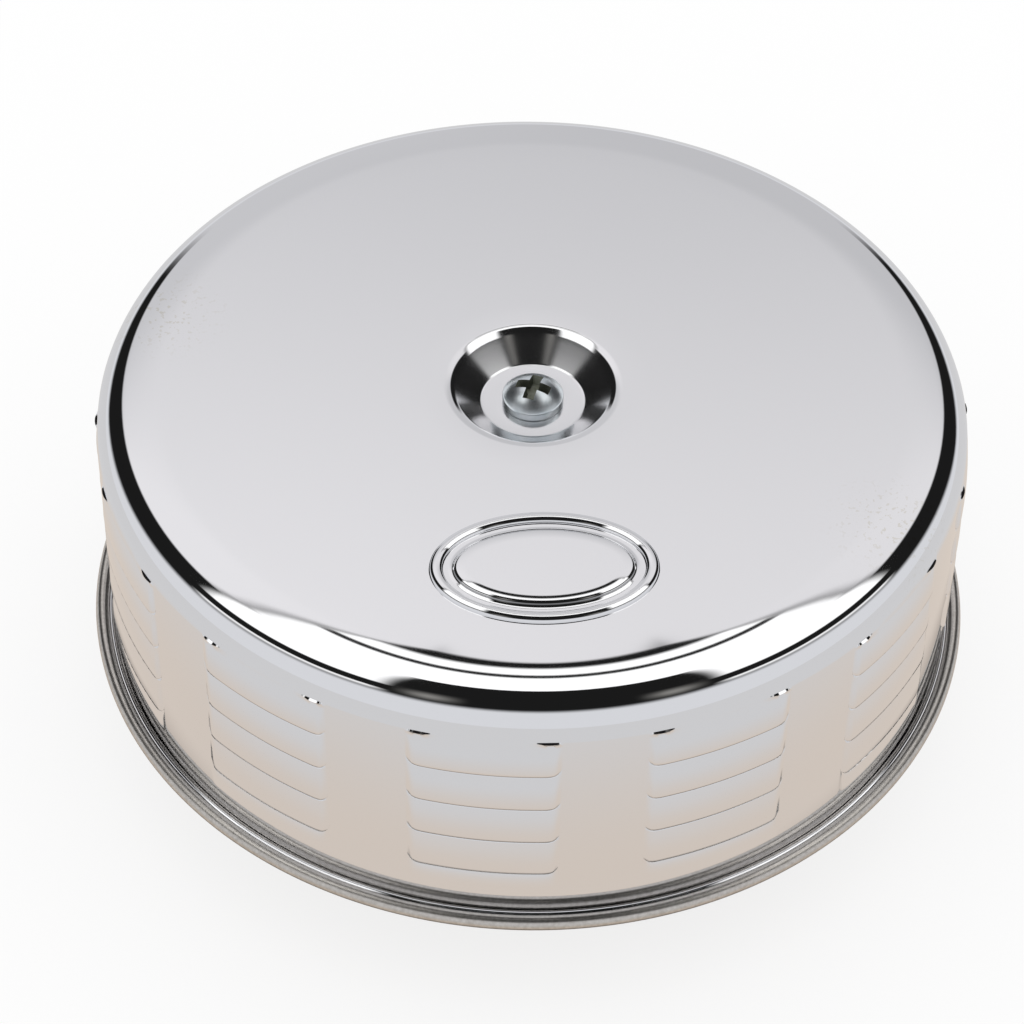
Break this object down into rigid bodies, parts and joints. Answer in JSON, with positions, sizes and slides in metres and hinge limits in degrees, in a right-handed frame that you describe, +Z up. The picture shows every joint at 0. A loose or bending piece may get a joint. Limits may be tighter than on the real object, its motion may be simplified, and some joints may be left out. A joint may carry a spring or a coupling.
{
  "type": "engine air cleaner",
  "caption": "Round chrome air cleaner for an engine's carburettor: louvred cover with a dished lid and centre screw, pleated filter inside, clamp-on neck below.",
  "frame": {"origin": "centre of the neck's lower mouth, which is the lowest face of the object", "axes": "+Z up along the neck and the cover screw, from the carburettor to the lid; the raised oval on the lid is towards -Y, the clamp's ears are towards +Y"},
  "size_m": [0.162, 0.162, 0.0744],
  "materials": {
    "chrome": "polished chrome plate",
    "rim_chrome": "chrome plate, finely brushed on the rolled edge",
    "zinc": "bright zinc plate",
    "zinc_sheet": "zinc-plated sheet",
    "filter_paper": "matte pleated paper",
    "screen_steel": "plain steel sheet",
    "seal_rubber": "matte moulded rubber"
  },
  "bodies": {
    "root": {"cover": "chrome", "cover_screw": "zinc", "base_pan": "rim_chrome", "neck": "zinc_sheet", "clamp_band": "zinc_sheet", "clamp_screw": "zinc", "clamp_nut": "zinc", "bridge": "zinc_sheet", "bridge_nut": "zinc", "pleated_paper": "filter_paper", "outer_screen": "screen_steel", "inner_screen": "screen_steel", "upper_end_ring": "seal_rubber", "lower_end_ring": "seal_rubber"}
  },
  "joints": []
}
